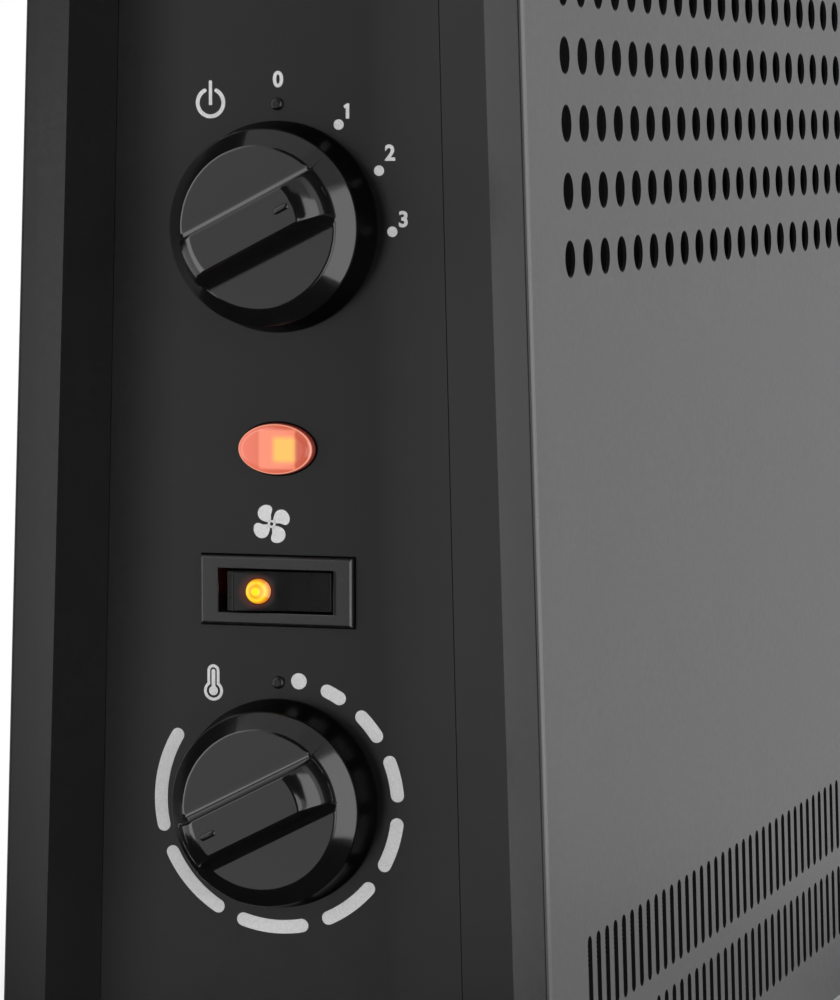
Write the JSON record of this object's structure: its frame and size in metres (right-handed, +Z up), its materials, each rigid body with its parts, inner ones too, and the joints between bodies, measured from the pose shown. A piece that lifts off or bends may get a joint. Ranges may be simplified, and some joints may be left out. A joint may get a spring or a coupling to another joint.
{
  "type": "convector heater",
  "caption": "Free-standing electric convector heater: perforated steel casing between black end caps, with power and thermostat knobs, pilot lamp and a rocker switch for the fan.",
  "frame": {"origin": "middle of the heater's footprint, on the floor", "axes": "+X along the heater from the control end to the plain end, -Y out of the front panel, +Z up"},
  "size_m": [0.6156, 0.2, 0.3837],
  "materials": {
    "casing_paint": "smooth satin dark grey powder paint",
    "cap_plastic": "black, finely grained, slightly satin",
    "plated_steel": "zinc plated sheet",
    "screw_steel": "plain plated steel",
    "foot_plastic": "black, finely grained",
    "pad_rubber": "dull black",
    "knob_plastic": "black, satin, with a pale pointer mark",
    "switch_plastic": "plain moulded",
    "rocker_plastic": "black, smooth",
    "red_lens": "clear red-orange, lit from behind",
    "amber_lens": "clear amber, lit from behind",
    "fin_aluminium": "plain extruded",
    "rod_steel": "heat stained",
    "bush_ceramic": "unglazed white",
    "lead_insulation": "pale silicone sleeve",
    "impeller_plastic": "plain moulded",
    "core_steel": "stacked sheet",
    "coil_copper": "enamelled copper wire under tape"
  },
  "bodies": {
    "casing": {"front_panel": "casing_paint", "rear_panel": "casing_paint", "top_grille": "casing_paint", "bottom_grille": "casing_paint", "control_end_cap": "cap_plastic", "plain_end_cap": "cap_plastic", "control_end_plate": "plated_steel", "plain_end_plate": "plated_steel", "heat_shield": "plated_steel", "fan_plate": "plated_steel", "cap_screws": "screw_steel", "case_screws": "screw_steel", "foot_screws": "screw_steel", "bush_nuts": "screw_steel", "control_side_foot": "foot_plastic", "plain_side_foot": "foot_plastic", "foot_pads": "pad_rubber", "cord_gland": "pad_rubber", "rotary_switch": "switch_plastic", "thermostat": "switch_plastic", "indicator_lamp": "switch_plastic", "terminal_block": "switch_plastic", "thermal_cutout": "switch_plastic", "rocker_housing": "rocker_plastic", "indicator_lens": "red_lens", "element_fin_front": "fin_aluminium", "element_fin_rear": "fin_aluminium", "element_rods": "rod_steel", "element_bushes": "bush_ceramic", "internal_leads": "lead_insulation", "motor_core": "core_steel", "lower_bearing_strap": "core_steel", "upper_bearing_strap": "core_steel", "motor_coil": "coil_copper"},
    "power_knob": {"power_knob": "knob_plastic", "power_shaft": "screw_steel"},
    "thermostat_knob": {"thermostat_knob": "knob_plastic", "thermostat_shaft": "screw_steel"},
    "fan_rocker": {"rocker_paddle": "rocker_plastic", "rocker_lens": "amber_lens"},
    "fan_impeller": {"fan_impeller": "impeller_plastic", "motor_rotor": "core_steel", "motor_shaft": "screw_steel"}
  },
  "joints": [
    {"name": "power_turn", "type": "hinge", "parent": "casing", "child": "power_knob", "pos_m": [-0.3, 0, 0.2546], "axis": [1, 0, 0], "range_deg": [-63, 30]},
    {"name": "thermostat_turn", "type": "hinge", "parent": "casing", "child": "thermostat_knob", "pos_m": [-0.3, 0, 0.1407], "axis": [1, 0, 0], "range_deg": [-243, 57]},
    {"name": "rocker_tip", "type": "hinge", "parent": "casing", "child": "fan_rocker", "pos_m": [-0.28318, 0, 0.1829], "axis": [0, 0, 1], "range_deg": [-20, 0]},
    {"name": "fan_spin", "type": "hinge", "parent": "casing", "child": "fan_impeller", "pos_m": [0.15782, 0, 0.08], "axis": [0, 0, 1], "continuous": true}
  ]
}
